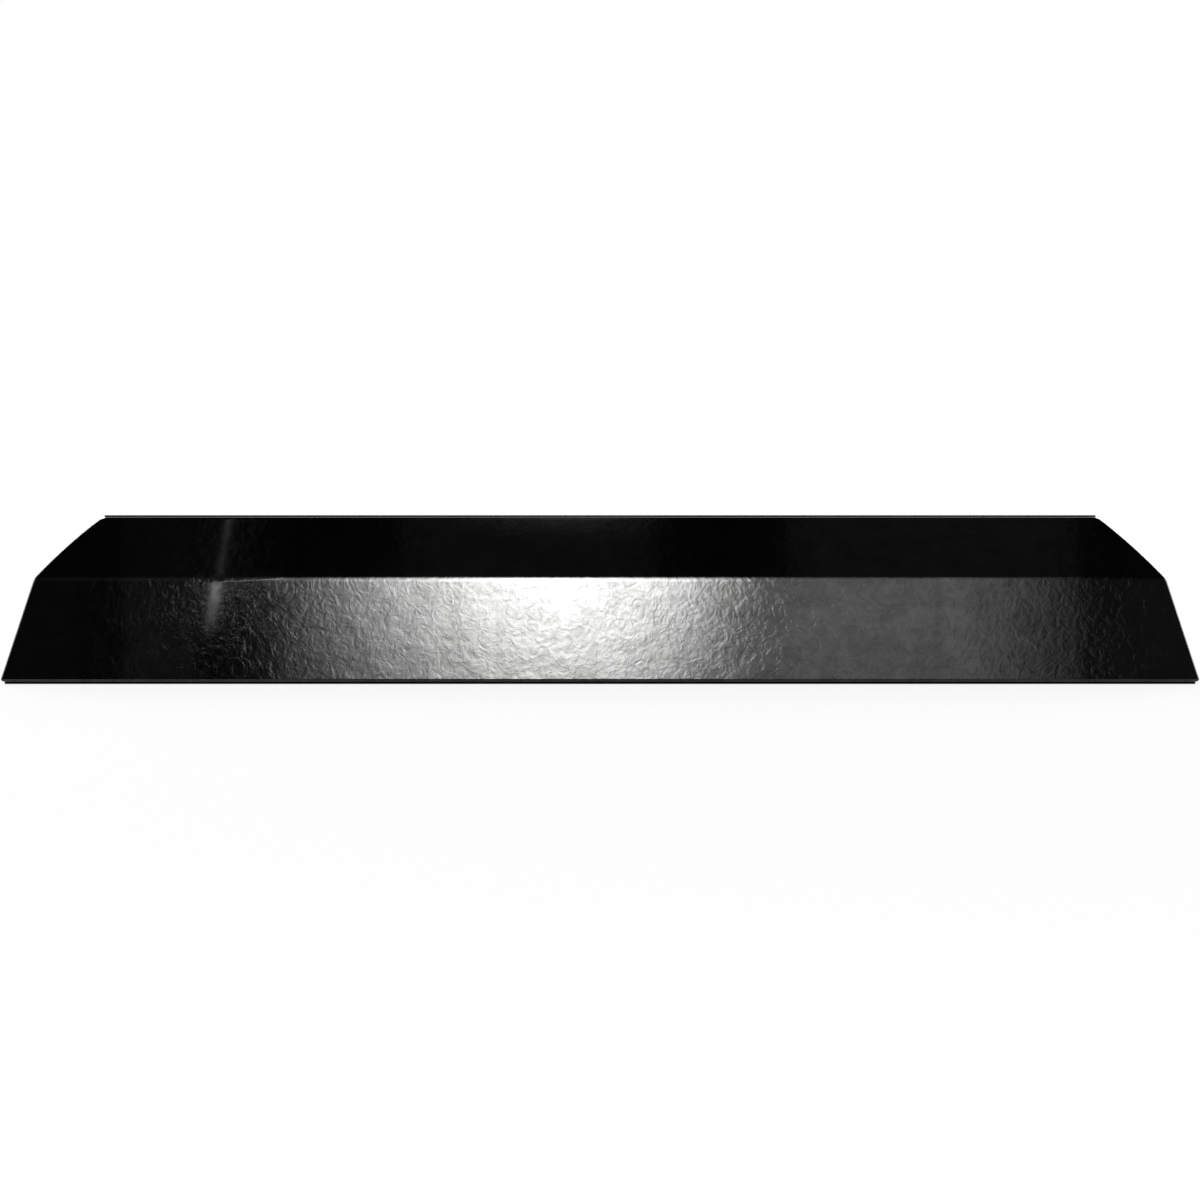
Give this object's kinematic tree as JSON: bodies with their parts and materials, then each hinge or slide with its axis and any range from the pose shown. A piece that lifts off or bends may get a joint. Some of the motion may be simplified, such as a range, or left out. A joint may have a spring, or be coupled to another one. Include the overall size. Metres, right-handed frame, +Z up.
{
  "type": "kick plate",
  "caption": "Cooker kick plate: black enamelled folded steel front with a leaning lower face, bowed upper face and mitred end returns, hung from slotted brackets with wing nuts.",
  "frame": {"origin": "on the floor, at the middle of the footprint with the brackets at mid travel", "axes": "+X to the right along the plate's length seen from the front, +Y back under the cooker, +Z up; the front faces -Y"},
  "size_m": [0.9, 0.1042, 0.1267],
  "materials": {
    "black_enamel": "gloss enamel with a slight orange-peel",
    "galvanised_steel": "galvanised, faint spangle",
    "zinc_plated_steel": "bright zinc plate",
    "black_rubber": "matt EPDM strip"
  },
  "bodies": {
    "plate": {"front_panel": "black_enamel", "end_return_left": "black_enamel", "end_return_right": "black_enamel", "corner_gusset_left": "galvanised_steel", "corner_gusset_right": "galvanised_steel", "rear_stiffener": "galvanised_steel", "floor_seal": "black_rubber", "top_seal": "black_rubber", "clinch_stud_left": "zinc_plated_steel", "flat_washer_left": "zinc_plated_steel", "spring_washer_left": "zinc_plated_steel", "clinch_stud_centre": "zinc_plated_steel", "flat_washer_centre": "zinc_plated_steel", "spring_washer_centre": "zinc_plated_steel", "clinch_stud_right": "zinc_plated_steel", "flat_washer_right": "zinc_plated_steel", "spring_washer_right": "zinc_plated_steel"},
    "bracket_left": {"fixing_bracket_left": "galvanised_steel"},
    "nut_left": {"wing_nut_left": "zinc_plated_steel"},
    "bracket_centre": {"fixing_bracket_centre": "galvanised_steel"},
    "nut_centre": {"wing_nut_centre": "zinc_plated_steel"},
    "bracket_right": {"fixing_bracket_right": "galvanised_steel"},
    "nut_right": {"wing_nut_right": "zinc_plated_steel"}
  },
  "joints": [
    {"name": "bracket_left_slide", "type": "slide", "parent": "plate", "child": "bracket_left", "axis": [0, 1, 0], "range_m": [-0.006, 0.006]},
    {"name": "wing_nut_left_turn", "type": "hinge", "parent": "plate", "child": "nut_left", "pos_m": [-0.3, 0.02957, 0.1156], "axis": [0, 0, -1], "range_deg": [0, 450]},
    {"name": "bracket_centre_slide", "type": "slide", "parent": "plate", "child": "bracket_centre", "axis": [0, 1, 0], "range_m": [-0.006, 0.006]},
    {"name": "wing_nut_centre_turn", "type": "hinge", "parent": "plate", "child": "nut_centre", "pos_m": [0, 0.02957, 0.1156], "axis": [0, 0, -1], "range_deg": [0, 450]},
    {"name": "bracket_right_slide", "type": "slide", "parent": "plate", "child": "bracket_right", "axis": [0, 1, 0], "range_m": [-0.006, 0.006]},
    {"name": "wing_nut_right_turn", "type": "hinge", "parent": "plate", "child": "nut_right", "pos_m": [0.3, 0.02957, 0.1156], "axis": [0, 0, -1], "range_deg": [0, 450]}
  ]
}
